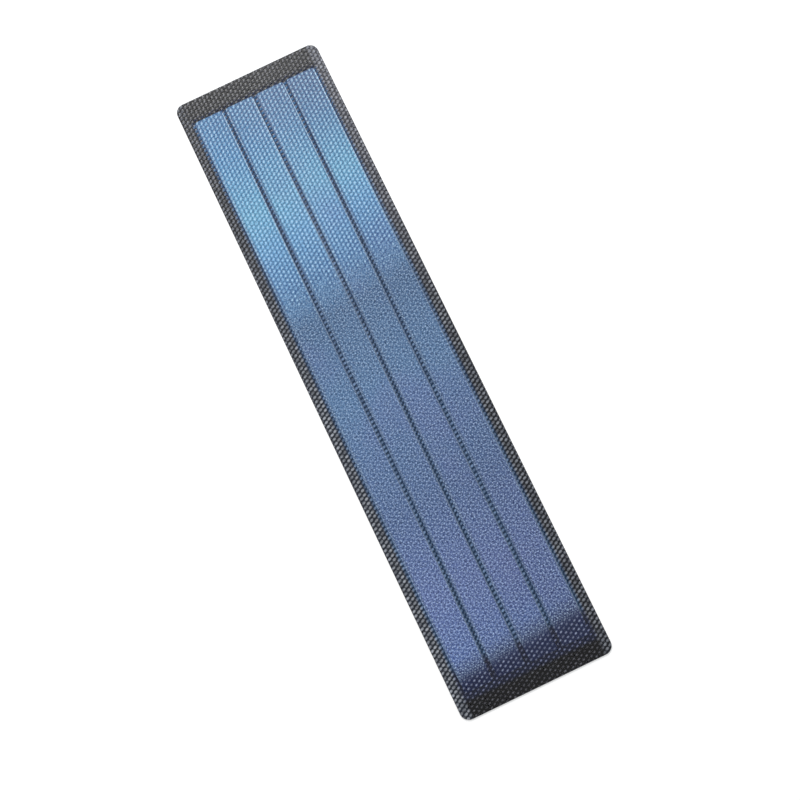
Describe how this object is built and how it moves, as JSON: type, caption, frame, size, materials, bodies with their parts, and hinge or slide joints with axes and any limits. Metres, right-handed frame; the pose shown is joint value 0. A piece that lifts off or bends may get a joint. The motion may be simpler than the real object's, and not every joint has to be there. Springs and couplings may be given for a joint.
{
  "type": "flexible solar strip",
  "caption": "Long thin flexible solar strip with blue thin-film cells side by side under a clear bumpy film, on a black back sheet with solder contacts at one end.",
  "frame": {"origin": "centre of the strip's back, on the surface it lies on", "axes": "+Z out of the sun face, +Y along the strip away from the contacts, +X across it towards the positive contact"},
  "size_m": [0.06, 0.258, 0.001],
  "materials": {
    "clear_film": "clear, pressed with small round bumps",
    "clear_adhesive": "clear",
    "cell": "blue coating on thin metal foil",
    "tinned_copper": "tinned",
    "black_ribbon": "black coated copper",
    "plated_eyelet": "plated",
    "copper_eyelet": "pink copper",
    "label_paper": "white, with a thin red ring",
    "black_adhesive": "black",
    "black_sheet": "black, pressed with small round bumps"
  },
  "bodies": {
    "root": {"front_film": "clear_film", "front_adhesive": "clear_adhesive", "cell_1": "cell", "cell_2": "cell", "cell_3": "cell", "cell_4": "cell", "collector_1": "tinned_copper", "collector_2": "tinned_copper", "collector_3": "tinned_copper", "collector_4": "tinned_copper", "series_link_1": "black_ribbon", "series_link_2": "black_ribbon", "series_link_3": "black_ribbon", "negative_ribbon": "black_ribbon", "positive_ribbon": "black_ribbon", "negative_eyelet": "plated_eyelet", "positive_eyelet": "copper_eyelet", "polarity_label": "label_paper", "rear_adhesive": "black_adhesive", "back_sheet": "black_sheet"}
  },
  "joints": []
}
